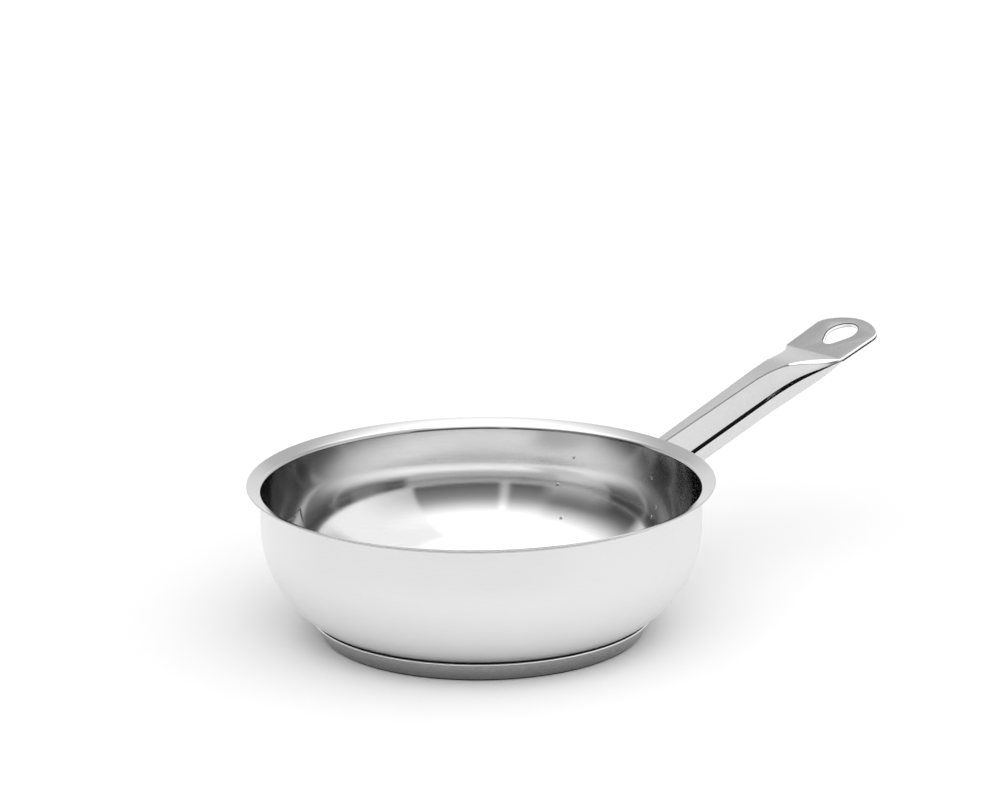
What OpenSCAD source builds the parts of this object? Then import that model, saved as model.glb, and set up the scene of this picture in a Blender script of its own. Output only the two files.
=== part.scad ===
// Saucier pan in sheet steel: a rounded bowl with a pouring lip, a sandwich base
// of an aluminium disc in a steel cap, and a hollow handle of two pressed shells.
// The origin is the centre of the standing face, +Z is up, and the handle lies along +X.

/* [Bowl] */
// Height of the pan over the lip
pan_h = 75.2; // [60:0.2:110]
// Outside diameter of the straight wall
body_d = 212.4; // [190:0.2:280]
// How far the pouring lip reaches out past the wall
lip_reach = 6.8; // [5:0.1:14]
// Thickness of the bowl sheet
sheet = 0.8; // [0.6:0.1:1.5]
// Outside radius of the rounded lower wall
corner_r = 51.6; // [46:0.2:58]
// How far the rounded wall would dip under the floor if it ran on
corner_dip = 5.2; // [3:0.1:9]
// Radius that blends the floor into the rounded wall
floor_r = 12; // [6:1:20]
// Bend radius under the lip
lip_bend = 1.8; // [1:0.1:3]
// Slope of the lip above level, in degrees
lip_slope = 22; // [10:1:35]

/* [Base] */
// Open gap between the bowl and the cap's edge
cap_gap = 0.9; // [0.5:0.1:4]
// How far the cap's side leans out from its foot to its edge
skirt_lean = 5.7; // [4:0.1:9]
// Height of the cap's open edge
skirt_h = 9.9; // [9:0.1:12]
// Thickness of the steel cap
cap_t = 0.8; // [0.4:0.1:1.2]
// Thickness of the aluminium disc
core_t = 7; // [4:0.5:8]
// How far the disc's edge sits below the cap's edge
core_recess = 1.2; // [0.5:0.1:2.5]
// Bond clearance on the curved faces of the base
bond = 0.1; // [0.05:0.05:0.3]

/* [Handle] */
// Length of the handle from the wall to its tip
handle_len = 160; // [140:1:230]
// Rise of the handle above level, in degrees
handle_rise = 19.2; // [5:0.2:30]
// Depth of the handle's middle plane under the top of the straight wall
handle_drop = 12.46; // [11:0.02:18]
// Width of the stem
stem_w = 22; // [18:0.5:30]
// Height of the upper shell over the middle plane
crown_h = 9.7; // [6:0.1:11]
// Depth of the lower shell under the middle plane
belly_h = 9.6; // [6:0.2:10]
// Thickness of the shell sheet
shell_t = 1.1; // [0.8:0.1:1.6]
// Width of the flat top land at the wall
land_root = 4.4; // [3:0.2:8]
// Width that the land would reach at the tail without its flare
land_far = 11.4; // [8:0.2:18]
// Depth of the corner along the lower shell's bottom
belly_corner = 2.5; // [1.5:0.5:4]
// Shadow gap between the two shells along the stem
part_gap = 2; // [1:0.2:3]

/* [Handle flare] */
// Length over which the crown falls to the tail
crown_fall = 46; // [40:1:60]
// Length over which the belly rises to the tail
belly_rise = 38; // [32:1:50]
// Length over which the sides widen to the tail
side_flare = 44; // [36:1:60]
// Length over which the top land widens to the tail
land_flare = 54; // [44:1:70]
// Length over which the shadow gap closes
gap_close = 34; // [26:1:36]
// Solid metal between the hollow and the tail
hollow_end = 7; // [5:1:10]

/* [Tail] */
// Length of the flat tail
tail_len = 36; // [30:1:50]
// Width of the tail where the stem ends
tail_w = 39.8; // [34:0.2:46]
// Extra width of the tail near its tip
tail_spread = 1.8; // [0:0.2:4]
// Radius of the tail's end
tip_r = 27.9; // [24:0.1:40]
// Radius that rounds the two corners of the tail
tail_corner = 7; // [3:0.5:10]
// How far the tail lies under the stem's middle plane
tail_dip = 1; // [0:0.1:1.5]
// Length over which the stem bends down to the tail
dip_run = 26; // [16:1:36]

/* [Hanging hole] */
// Radius of the hole's wide end
hang_r = 8.6; // [6:0.2:10]
// Radius of the hole's narrow end
hang_small_r = 4.8; // [3:0.2:6]
// Distance between the centres of the two ends
hang_step = 7.6; // [5:0.2:10]
// Metal between the hole and the tip
hang_edge = 5.4; // [4:0.2:8]

/* [Bracket] */
// Width of the saddle plate round the wall
saddle_w = 44; // [38:1:56]
// Height of the saddle plate
saddle_tall = 23.5; // [22:0.5:30]
// Depth of the saddle's upper edge under the top of the straight wall
saddle_drop = 1.5; // [0.5:0.1:4]
// Thickness of the saddle plate
saddle_t = 1.5; // [1:0.1:2.5]
// Corner radius of the saddle plate
saddle_corner = 5; // [2:1:8]
// Clearance between the wall and the saddle, filled by the welds
weld_gap = 0.3; // [0.2:0.05:0.5]
// Diameter of a spot weld
weld_d = 5; // [3:0.5:7]
// Distance between the two rows of welds
weld_rows = 7.1; // [6:0.1:12]
// Clearance between the saddle and the handle's root
root_gap = 0.2; // [0.1:0.05:0.4]
// Length of the tongue that runs inside the handle
tongue_len = 86; // [60:1:90]
// Clearance between the tongue and the outside of the shells
tongue_inset = 1.2; // [0.5:0.1:1.2]

/* [Hidden] */
wall_r = body_d / 2;
rim_r = wall_r + lip_reach;
floor_z = cap_t + core_t;
big = 400;
smooth = 160;
arc_steps = 14;

// Rounded wall: centres of the big corner arc and of the small arc by the floor
corner_x = wall_r - corner_r;
lip_turn = 90 - lip_slope;
lip_len = (rim_r - wall_r - lip_bend + lip_bend * cos(lip_turn) - sheet / 2) / cos(lip_slope);
wall_top = pan_h - (lip_bend + sheet) * sin(lip_turn) - lip_len * sin(lip_slope);
corner_z = min(floor_z + corner_r - corner_dip, wall_top - lip_bend);
small_z = floor_z + floor_r;
small_x = corner_x + sqrt(pow(corner_r - floor_r, 2) - pow(corner_z - small_z, 2));
meet_a = atan2(small_z - corner_z, small_x - corner_x);

// Points on an arc from one angle to another, both included
function arc(cx, cy, r, a0, a1, n = arc_steps) =
    [for (i = [0:n]) [cx + r * cos(a0 + (a1 - a0) * i / n), cy + r * sin(a0 + (a1 - a0) * i / n)]];
function back(list) = [for (i = [len(list) - 1:-1:0]) list[i]];

// The bowl's outer line from the floor to the wall, moved out by a clearance
function bowl_line(out) = concat(
    arc(small_x, small_z, floor_r + out, -90, meet_a, 6),
    arc(corner_x, corner_z, corner_r + out, meet_a, 0));

// Outside radius of the bowl at a height, for its rounded lower wall
function bowl_x(z) = z < small_z + floor_r * sin(meet_a)
    ? small_x + sqrt(pow(floor_r, 2) - pow(small_z - z, 2))
    : corner_x + sqrt(pow(corner_r, 2) - pow(corner_z - z, 2));

module bowl() {
    lip_x = wall_r + lip_bend;
    far = 180 - lip_turn;
    end_in = [lip_x + (lip_bend + sheet) * cos(far) + lip_len * cos(lip_slope),
              wall_top + (lip_bend + sheet) * sin(far) + lip_len * sin(lip_slope)];
    end_mid = end_in + sheet / 2 * [sin(lip_slope), -cos(lip_slope)];
    color("gainsboro")
    rotate_extrude($fn = smooth)
    polygon(concat(
        [[0, floor_z]],
        bowl_line(0),
        arc(lip_x, wall_top, lip_bend, 180, far, 6),
        arc(end_mid[0], end_mid[1], sheet / 2, lip_slope - 90, lip_slope + 90, 6),
        arc(lip_x, wall_top, lip_bend + sheet, far, 180, 6),
        back(bowl_line(-sheet)),
        [[0, floor_z + sheet]]));
}

// Slope of the cap's side, and its inside at a height
skirt_wall = cap_t * sqrt(1 + pow(skirt_lean / skirt_h, 2));
base_r = bowl_x(skirt_h) + cap_gap + skirt_wall - skirt_lean;
function skirt_x(z) = base_r + skirt_lean * z / skirt_h;

module core_disc() {
    edge_z = max(skirt_h - core_recess, floor_z);
    side_in = skirt_wall + bond;
    color("lightgrey")
    rotate_extrude($fn = smooth)
    difference() {
        polygon([[0, cap_t], [skirt_x(cap_t) - side_in, cap_t],
                 [skirt_x(edge_z) - side_in, edge_z], [0, edge_z]]);
        polygon(concat([[0, floor_z]], bowl_line(bond), [[wall_r + bond, big], [0, big]]));
    }
}

module base_cap() {
    color("silver")
    rotate_extrude($fn = smooth)
    polygon([[0, 0], [base_r - cap_t, 0], [skirt_x(cap_t), cap_t],
             [skirt_x(skirt_h), skirt_h], [skirt_x(skirt_h) - skirt_wall, skirt_h],
             [skirt_x(cap_t) - skirt_wall, cap_t], [0, cap_t]]);
}

// The handle's own frame: X runs along it from the wall, Z is square to its middle plane
module handle_frame() {
    translate([wall_r, 0, wall_top - handle_drop])
    rotate([0, -handle_rise, 0])
    children();
}

saddle_in = wall_r + weld_gap;
saddle_out = saddle_in + saddle_t;
saddle_top = wall_top - saddle_drop;
root_r = saddle_out + root_gap;
tail_s = handle_len - tail_len;
flare_from = tail_s - side_flare;
gap_from = tail_s - gap_close;
belly_from = tail_s - belly_rise;
root_s = -stem_w / 2;
stem_step = 18;
side_lean = 0.4;
bottom_step = 1.4;
last_corner = 0.2;
hollow_over = 1;
tail_seam = 2;
tip_steps = 12;
flare_steps = 11;

function share(s, from, to) = max(0, min(1, (s - from) / (to - from)));
function mix(a, b, k) = a + (b - a) * k;
function stem_half(s) = mix(stem_w, tail_w, pow(share(s, flare_from, tail_s), 2)) / 2;
function land_half(s) = mix(land_root, land_far, share(s, 0, tail_s)) / 2
    + (tail_w - land_far) / 2 * pow(share(s, tail_s - land_flare, tail_s), 3);
function crown(s) = mix(crown_h, shell_t, pow(share(s, tail_s - crown_fall, tail_s), 2));
function belly(s) = mix(belly_h, shell_t, pow(share(s, belly_from, tail_s), 2));
function half_gap(s) = part_gap / 2 * (1 - pow(share(s, gap_from, tail_s), 2));
function corner(s) = mix(belly_corner, last_corner, share(s, belly_from, tail_s));

// The stem's middle plane eases down to the tail and is level with it at the last flare station
function dip(s) = let (k = share(s, tail_s - dip_run, tail_s - side_flare / flare_steps))
    tail_dip * k * k * (3 - 2 * k);

// Stations along the stem, closer together where it flares
stations = concat([root_s], [for (s = [stem_step:stem_step:flare_from - stem_step / 4]) s],
                  [for (i = [0:flare_steps - 1]) mix(flare_from, tail_s, i / flare_steps)], [tail_s]);
hollow_stations = concat([2 * root_s], [for (s = stations) if (s > root_s && s < tail_s - hollow_end) s]);

// Upper shell: right half of its outside, and of the hollow under it
function crown_side(s) = [[stem_half(s), half_gap(s)], [land_half(s), crown(s)]];
function crown_hollow(s) =
    let (b = stem_half(s), g = half_gap(s), a = land_half(s), h = crown(s), low = -hollow_over)
    let (slant = norm([b - a, h - g]), run = (a - b) / (h - g))
    let (in_y = -shell_t * (h - g) / slant, in_z = -shell_t * (b - a) / slant)
    [[b + in_y + run * (low - g - in_z), low], [b + in_y + run * (h - shell_t - g - in_z), h - shell_t]];

// Lower shell: right half of its outside, and of the hollow over it
function belly_side(s) =
    let (b = stem_half(s), d = belly(s), c = corner(s))
    [[b, -half_gap(s)], [b - side_lean * c, -d + c], [b - bottom_step * c, -d]];
function belly_hollow(s) =
    let (b = stem_half(s) - shell_t, d = belly(s) - shell_t, c = corner(s))
    [[b, hollow_over], [b - side_lean * c, -d + c], [b - bottom_step * c, -d]];

// A closed ring at one station, from the right half of its section
function ring(s, half) = concat(
    [for (p = half) [s, p[0], p[1] - dip(s)]],
    [for (p = back(half)) [s, -p[0], p[1] - dip(s)]]);

// Solid through a row of rings with the same number of points
module loft(rings) {
    n = len(rings[0]);
    last = (len(rings) - 1) * n;
    sides = [for (k = [0:n:last - n]) for (i = [0:n - 1])
        let (a = k + i, b = k + (i + 1) % n)
        for (f = [[a, b + n, b], [a, a + n, b + n]]) f];
    root = [for (i = [0:n - 1]) i];
    tip = [for (i = back(root)) last + i];
    polyhedron([for (r = rings) for (p = r) p], concat([root], sides, [tip]));
}

// Flat tail: it starts a seam inside the stem's solid end, its sides spread a little,
// and a round of tail_corner joins each to the tip
tip_c = handle_len - tip_r;
spread = tail_spread / 2 / (tail_len - tail_corner);
round_low = tail_w / 2 - spread * tail_s - tail_corner * sqrt(1 + pow(spread, 2));
round_b = spread * round_low - tip_c;
round_c = pow(tip_c, 2) + pow(round_low, 2) - pow(tip_r - tail_corner, 2);
round_x = (sqrt(pow(round_b, 2) - (1 + pow(spread, 2)) * round_c) - round_b) / (1 + pow(spread, 2));
round_y = round_low + spread * round_x;
round_a = atan2(round_y, round_x - tip_c);
tail_half = concat(
    [[tail_s - tail_seam, tail_w / 2 - tail_seam], [tail_s, tail_w / 2]],
    arc(round_x, round_y, tail_corner, 90 + atan(spread), round_a, 6),
    arc(tip_c, 0, tip_r, round_a * (tip_steps - 1) / tip_steps, 0, tip_steps - 1));

module tail_plate(low) {
    translate([0, 0, low])
    linear_extrude(shell_t)
    difference() {
        polygon(concat(tail_half, back([for (p = tail_half) if (p[1] > 0) [p[0], -p[1]]])));
        hanging_hole();
    }
}

// Teardrop hole with its wide end towards the tip
module hanging_hole() {
    wide_s = handle_len - hang_edge - hang_r;
    side_a = 180 - acos((hang_r - hang_small_r) / hang_step);
    polygon(concat(
        arc(wide_s, 0, hang_r, -side_a, side_a, 24),
        arc(wide_s - hang_step, 0, hang_small_r, side_a, 360 - side_a, 10)));
}

// Room for the bowl, the saddle and the root clearance
module root_cut() {
    cylinder(r = root_r, h = big, center = true, $fn = smooth);
}

// A pressed shell: outside less hollow, with its flat tail, cut to clear the saddle
module shell(outside, hollow, tail_low) {
    difference() {
        handle_frame()
        union() {
            difference() {
                loft(outside);
                loft(hollow);
            }
            tail_plate(tail_low - tail_dip);
        }
        root_cut();
    }
}

module handle_upper_shell() {
    color("whitesmoke")
    shell([for (s = stations) ring(s, crown_side(s))],
        [for (s = hollow_stations) ring(s, crown_hollow(s))], 0);
}

module handle_lower_shell() {
    color("gainsboro")
    shell([for (s = stations) back(ring(s, belly_side(s)))],
        [for (s = hollow_stations) back(ring(s, belly_hollow(s)))], -shell_t);
}

module handle_tongue() {
    half = stem_w / 2 - tongue_inset;
    color("dimgray")
    difference() {
        handle_frame()
        translate([0, 0, -part_gap / 2])
        linear_extrude(part_gap)
        union() {
            translate([root_s, -half])
            square([tongue_len - root_s - half, 2 * half]);
            translate([tongue_len - half, 0])
            circle(r = half, $fn = smooth);
        }
        root_cut();
    }
}

// A curved layer round the wall between two radii, cut to the saddle's outline
module wall_layer(inner, outer) {
    intersection() {
        difference() {
            cylinder(r = outer, h = big, center = true, $fn = smooth);
            cylinder(r = inner, h = 2 * big, center = true, $fn = smooth);
        }
        children();
    }
}

module handle_saddle() {
    color("silver")
    wall_layer(saddle_in, saddle_out)
    translate([wall_r / 2, 0, saddle_top - saddle_tall / 2])
    rotate([0, 90, 0])
    linear_extrude(wall_r)
    union() {
        square([saddle_tall - 2 * saddle_corner, saddle_w], center = true);
        square([saddle_tall, saddle_w - 2 * saddle_corner], center = true);
        for (x = [-1, 1]) {
            for (y = [-1, 1]) {
                translate([x * (saddle_tall / 2 - saddle_corner), y * (saddle_w / 2 - saddle_corner)])
                circle(r = saddle_corner, $fn = 48);
            }
        }
    }
}

module spot_welds() {
    across = saddle_w / 2 - saddle_corner;
    upper_row = saddle_top - saddle_corner;
    color("darkgray")
    wall_layer(wall_r, saddle_in)
    for (z = [upper_row, upper_row - weld_rows]) {
        for (side = [-1, 1]) {
            translate([0, side * across, z])
            rotate([0, 90, 0])
            cylinder(d = weld_d, h = big / 2, $fn = 48);
        }
    }
}

bowl();
core_disc();
base_cap();
handle_saddle();
spot_welds();
handle_tongue();
handle_upper_shell();
handle_lower_shell();
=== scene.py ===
import math

import bmesh
import bpy
from mathutils import Matrix, Vector


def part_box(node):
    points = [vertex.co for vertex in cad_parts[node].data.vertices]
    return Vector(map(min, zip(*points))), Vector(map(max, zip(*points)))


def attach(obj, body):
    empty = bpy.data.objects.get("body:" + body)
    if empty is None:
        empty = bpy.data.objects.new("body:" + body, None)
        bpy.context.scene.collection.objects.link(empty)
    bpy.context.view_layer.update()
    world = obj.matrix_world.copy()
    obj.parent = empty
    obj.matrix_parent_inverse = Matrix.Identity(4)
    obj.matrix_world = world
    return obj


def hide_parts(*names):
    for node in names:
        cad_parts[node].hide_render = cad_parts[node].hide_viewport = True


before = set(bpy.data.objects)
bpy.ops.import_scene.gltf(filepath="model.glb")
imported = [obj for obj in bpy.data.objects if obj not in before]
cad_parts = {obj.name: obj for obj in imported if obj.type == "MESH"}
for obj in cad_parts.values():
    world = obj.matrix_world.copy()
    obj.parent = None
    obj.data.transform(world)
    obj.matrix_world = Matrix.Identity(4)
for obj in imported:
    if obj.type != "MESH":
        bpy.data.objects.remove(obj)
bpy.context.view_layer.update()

mm = 0.001
print("frame loaded:", len(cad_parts), "nodes")


# Small shape helpers, in millimetres until a mesh is made

def mix(a, b, share):
    return a + (b - a) * share


def shareOf(value, start, end):
    return max(0.0, min(1.0, (value - start) / (end - start)))


def arcPoints(centre, radius, start, end, steps):  # angles in degrees, both ends included
    angles = [math.radians(mix(start, end, i / steps)) for i in range(steps + 1)]
    return [(centre[0] + radius * math.cos(a), centre[1] + radius * math.sin(a)) for a in angles]


def easedCurve(x, x0, x1, y0, y1, slope0, slope1):  # smooth join between two ends with known slopes
    run = x1 - x0
    t = (x - x0) / run
    start = (2 * t ** 3 - 3 * t ** 2 + 1) * y0 + (t ** 3 - 2 * t ** 2 + t) * slope0 * run
    return start + (3 * t ** 2 - 2 * t ** 3) * y1 + (t ** 3 - t ** 2) * slope1 * run


def makeObject(name, points, faces, smoothFaces=True):
    mesh = bpy.data.meshes.new(name)
    mesh.from_pydata([Vector(p) * mm for p in points], [], faces)
    mesh.validate()
    made = bpy.data.objects.new(name, mesh)
    bpy.context.scene.collection.objects.link(made)
    worker = bmesh.new()
    worker.from_mesh(mesh)
    bmesh.ops.recalc_face_normals(worker, faces=worker.faces)
    for face in worker.faces:
        face.smooth = smoothFaces
    worker.to_mesh(mesh)
    worker.free()
    return made


def addPiece(made, slot, *nodes):  # every piece rides on the pan's one body
    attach(made, "root")
    if nodes:
        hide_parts(*nodes)


def paintNode(name, material):  # a CAD node that shows as it is gets its own steel
    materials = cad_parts[name].data.materials
    materials.clear()
    materials.append(material)


def turnedPiece(name, profile, turns):  # a profile of (radius, height) spun round the pan's axis
    points = []
    rings = []
    for radius, height in profile:
        if radius < 1e-6:
            rings.append([len(points)] * turns)
            points.append((0, 0, height))
            continue
        rings.append(list(range(len(points), len(points) + turns)))
        for i in range(turns):
            angle = 2 * math.pi * i / turns
            points.append((radius * math.cos(angle), radius * math.sin(angle), height))
    faces = []
    for low, high in zip(rings, rings[1:]):
        for i in range(turns):
            j = (i + 1) % turns
            corners = [low[i], low[j], high[j], high[i]]
            kept = [c for k, c in enumerate(corners) if c not in corners[:k]]
            if len(kept) > 2:
                faces.append(kept)
    return makeObject(name, points, faces)


# Shader nodes: one wrapper for a socket, and one method that makes any node

class Wire:
    def __init__(self, graph, socket):
        self.graph = graph
        self.socket = socket

    def maths(self, operation, *others):
        return self.graph.node("ShaderNodeMath", {"operation": operation}, [self, *others])

    def __add__(self, other):
        return self.maths("ADD", other)

    def __radd__(self, other):
        return self.maths("ADD", other)

    def __sub__(self, other):
        return self.maths("SUBTRACT", other)

    def __rsub__(self, other):
        return self.graph.node("ShaderNodeMath", {"operation": "SUBTRACT"}, [other, self])

    def __mul__(self, other):
        return self.maths("MULTIPLY", other)

    def __rmul__(self, other):
        return self.maths("MULTIPLY", other)

    def __truediv__(self, other):
        return self.maths("DIVIDE", other)

    def __rtruediv__(self, other):
        return self.graph.node("ShaderNodeMath", {"operation": "DIVIDE"}, [other, self])

    def __pow__(self, other):
        return self.maths("POWER", other)


class Graph:
    def __init__(self, tree):
        self.tree = tree
        self.tree.nodes.clear()

    def node(self, kind, settings=None, values=None, output=0):
        made = self.tree.nodes.new(kind)
        for key, value in (settings or {}).items():
            if key == "stops":
                self.setStops(made.color_ramp, value)
            else:
                setattr(made, key, value)
        pairs = values.items() if isinstance(values, dict) else enumerate(values or [])
        for key, value in pairs:
            if isinstance(value, Wire):
                self.tree.links.new(value.socket, made.inputs[key])
            else:
                made.inputs[key].default_value = value
        return Wire(self, made.outputs[output]) if made.outputs else made

    def setStops(self, ramp, stops):
        while len(ramp.elements) < len(stops):
            ramp.elements.new(1.0)
        for element, (place, grey) in zip(ramp.elements, stops):
            element.position = place
            element.color = (grey, grey, grey, 1)

    def colourMix(self, share, first, second):
        colours = {0: share, 6: first, 7: second}
        return self.node("ShaderNodeMix", {"data_type": "RGBA"}, colours, output=2)

    def place(self):  # the point on the object, in metres, as three wires
        point = self.node("ShaderNodeTexCoord", output=3)
        parts = self.node("ShaderNodeSeparateXYZ", values=[point])
        sockets = parts.socket.node.outputs
        return [Wire(self, sockets[i]) for i in range(3)]

    def vector(self, x, y, z):
        return self.node("ShaderNodeCombineXYZ", values=[x, y, z])

    def noise(self, point, scale, detail=2.0, roughness=0.5):
        values = {"Vector": point, "Scale": scale, "Detail": detail, "Roughness": roughness}
        return self.node("ShaderNodeTexNoise", values=values)

    def spread(self, wire, low, high, newLow, newHigh):  # a clamped change of range
        return self.node("ShaderNodeMapRange", values=[wire, low, high, newLow, newHigh])

    def surface(self, settings, normal=None):
        values = dict(settings)
        if normal is not None:
            values["Normal"] = normal
        shader = self.node("ShaderNodeBsdfPrincipled", values=values)
        self.node("ShaderNodeOutputMaterial", values={"Surface": shader})

    def bump(self, height, distance, strength=1.0, normal=None):
        values = {"Height": height, "Distance": distance, "Strength": strength}
        if normal is not None:
            values["Normal"] = normal
        return self.node("ShaderNodeBump", values=values)


def newMaterial(name):
    material = bpy.data.materials.new(name)
    material.use_nodes = True
    return material, Graph(material.node_tree)


def grey(level, warmth=0.0):
    return (level * (1 + warmth), level, level * (1 - warmth), 1)


# Steel worked round the pan's axis: fine lines that follow the turning

def turnedSteel(name, look):
    material, graph = newMaterial(name)
    x, y, z = graph.place()
    radius = (x * x + y * y + 1e-9) ** 0.5
    alongLine = graph.vector(x / radius * look["lineSpread"], y / radius * look["lineSpread"],
                             (z + radius) * look["lineCount"])
    fine = graph.noise(alongLine, 1.0, 3.0, 0.6)
    broad = graph.noise(graph.vector(x / radius * 3, y / radius * 3, (z + radius) * 60), 1.0, 2.0)
    patch = graph.noise(graph.vector(x, y, z), look["patchScale"], 3.0)
    lines = graph.spread(fine, 0.35, 0.65, 0.0, 1.0)
    colour = graph.colourMix(lines * look["lineColour"] + patch * look["patchColour"],
                             grey(look["level"]), grey(look["level"] * 0.86))
    if "shadeLevel" in look:  # painted shade: past one height the colour is darkened, standing in for shade and dark reflections there
        paintedShadeShare = graph.spread(z, look["shadeFrom"] * mm, look["shadeTo"] * mm, 0.0, 1.0)
        colour = graph.colourMix(paintedShadeShare * 0.85, colour, grey(look["shadeLevel"]))
    rough = look["rough"] + (lines - 0.5) * look["roughLines"] + (patch - 0.5) * look["roughPatch"]
    height = fine * 0.8 + broad * 0.2
    normal = graph.bump(height, look["lineDepth"] * mm)
    graph.surface({"Base Color": colour, "Metallic": 1.0, "Roughness": rough,
                   "Anisotropic": look["stretch"], "Anisotropic Rotation": 0.25}, normal)
    return material


# painted shade: the outside darkens towards its foot, a painted reflection of the contact shadow
outsideLook = {"level": 0.78, "rough": 0.3, "roughLines": 0.04, "roughPatch": 0.03, "lineCount": 2600,
               "lineSpread": 14, "lineDepth": 0.003, "lineColour": 0.14, "patchScale": 18,
               "patchColour": 0.12, "stretch": 0.5, "shadeLevel": 0.2, "shadeFrom": 15.5, "shadeTo": 9}
# painted shade: the inside of the wall darkens towards its top
insideLook = {"level": 0.76, "rough": 0.1, "roughLines": 0.03, "roughPatch": 0.02, "lineCount": 2200,
              "lineSpread": 10, "lineDepth": 0.008, "lineColour": 0.25, "patchScale": 22,
              "patchColour": 0.2, "stretch": 0.6, "shadeLevel": 0.4, "shadeFrom": 44, "shadeTo": 56}
lipLook = {"level": 0.62, "rough": 0.12, "roughLines": 0.03, "roughPatch": 0.03, "lineCount": 2400,
           "lineSpread": 12, "lineDepth": 0.002, "lineColour": 0.15, "patchScale": 30,
           "patchColour": 0.15, "stretch": 0.3}
# painted shade: the cap's side darkens towards the foot, a painted reflection of the contact shadow
capLook = {"level": 0.4, "rough": 0.27, "roughLines": 0.1, "roughPatch": 0.05, "lineCount": 1500,
           "lineSpread": 9, "lineDepth": 0.008, "lineColour": 0.6, "patchScale": 25,
           "patchColour": 0.3, "stretch": 0.5, "shadeLevel": 0.1, "shadeFrom": 8, "shadeTo": -3}
# painted highlight: the cap's open edge is painted near white
capEdgeHighlightLook = dict(lipLook, level=0.92, rough=0.45, lineColour=0.05, patchColour=0.05)
# painted shade: the foot's rounding is painted near black as contact shadow
capFootShadeLook = dict(lipLook, level=0.04, rough=0.5)
# painted shade: the core disc, seen only in the gap under the bowl, is painted near black
coreShadeLook = {"level": 0.12, "rough": 0.45, "roughLines": 0.12, "roughPatch": 0.1, "lineCount": 900,
            "lineSpread": 20, "lineDepth": 0.02, "lineColour": 0.5, "patchScale": 60,
            "patchColour": 0.5, "stretch": 0.2}

outsideSteel = turnedSteel("outside_satin_steel", outsideLook)
insideSteel = turnedSteel("inside_steel", insideLook)
lipSteel = turnedSteel("lip_polished_steel", lipLook)
capSteel = turnedSteel("cap_turned_steel", capLook)
capEdgeHighlightSteel = turnedSteel("cap_edge_painted_highlight", capEdgeHighlightLook)
capFootShadeSteel = turnedSteel("cap_foot_painted_shade", capFootShadeLook)
coreShadeMetal = turnedSteel("core_aluminium", coreShadeLook)


# Steel brushed along the handle

def handleSteel(name, look):
    material, graph = newMaterial(name)
    x, y, z = graph.place()
    rise = math.radians(handleSizes["rise"])
    along = x * math.cos(rise) + z * math.sin(rise)
    across = z * math.cos(rise) - x * math.sin(rise)
    fine = graph.noise(graph.vector(along * look["lineSpread"], y * look["lineCount"],
                                    across * look["lineCount"]), 1.0, 3.0, 0.6)
    patch = graph.noise(graph.vector(x, y, z), look["patchScale"], 3.0)
    lines = graph.spread(fine, 0.35, 0.65, 0.0, 1.0)
    colour = graph.colourMix(lines * look["lineColour"] + patch * look["patchColour"],
                             grey(look["level"]), grey(look["level"] * 0.85))
    if "tailShadeLevel" in look:  # painted shade: the flat tail is painted darker than the stem
        start = (handleSizes["wallRadius"] * math.cos(rise) + look["tailFrom"]) * mm
        onTail = graph.spread(along, start, start + 0.5 * mm, 0.0, 1.0)
        colour = graph.colourMix(onTail * 0.85, colour, grey(look["tailShadeLevel"]))
    rough = look["rough"] + (lines - 0.5) * look["roughLines"] + (patch - 0.5) * look["roughPatch"]
    normal = graph.bump(fine, look["lineDepth"] * mm)
    graph.surface({"Base Color": colour, "Metallic": 1.0, "Roughness": rough}, normal)
    return material


handleSizes = {"length": 160, "rise": 19.2, "wallRadius": 106.2, "rootDrop": 12.46, "stemWidth": 22,
               "crown": 9.7, "belly": 9.6, "sheet": 1.1, "landRoot": 4.4, "landFar": 11.4,
               "bottomCorner": 2.5, "tailCornerLow": 0.3, "partGap": 2, "crownFall": 46, "bellyRise": 38,
               "sideFlare": 44, "landFlare": 54, "gapFrom": 34, "gapTo": 5, "hollowEnd": 7,
               "tailLength": 36, "tailWidth": 39.8, "tailSpread": 1.8, "tipRadius": 27.9,
               "tailCorner": 7, "holeRadius": 8.6, "holeSmallRadius": 4.8, "holeStep": 7.6,
               "holeEdge": 5.4, "dip": 1, "dipFrom": 26, "dipTo": 4, "rootGap": 0.2,
               "bendReach": 1.2, "steps": 66, "bendSteps": 8, "partRound": 0.22, "holeRound": 0.35,
               "creaseRound": 0.25, "creaseWide": 2.0, "creaseLine": 0.35, "creaseFrom": 27, "creaseFull": 10,
               "creaseNarrow": 5, "creasePast": 1, "lineStop": 3, "bandFrom": 25, "bottomLean": 0.4}
plainLook = {"level": 0.59, "rough": 0.27, "roughLines": 0.06, "roughPatch": 0.05, "lineCount": 2500,
             "lineSpread": 60, "lineDepth": 0.004, "lineColour": 0.2, "patchScale": 40,
             "patchColour": 0.2}
handleLook = dict(plainLook, tailShadeLevel=0.4, tailFrom=143.4)
# painted light: the lower shell's steel is painted lighter than the upper shell's
lowerLitLook = dict(plainLook, level=0.72)
bracketLook = dict(plainLook, level=0.5, rough=0.36, lineDepth=0.01, lineColour=0.5)
# painted shade: the tongue in the gap between the shells is painted near black
tongueShadeLook = dict(plainLook, level=0.025, rough=0.6, lineDepth=0.01, lineColour=0.6)
# painted shade: a dark line painted beside the crease
creaseShadeLook = dict(plainLook, level=0.2, rough=0.4)
# painted shade: the parting edges, the hole's lip and the lower sheet's tail edge are painted near black
edgeShadeLook = dict(plainLook, level=0.04, rough=0.5)
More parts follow.
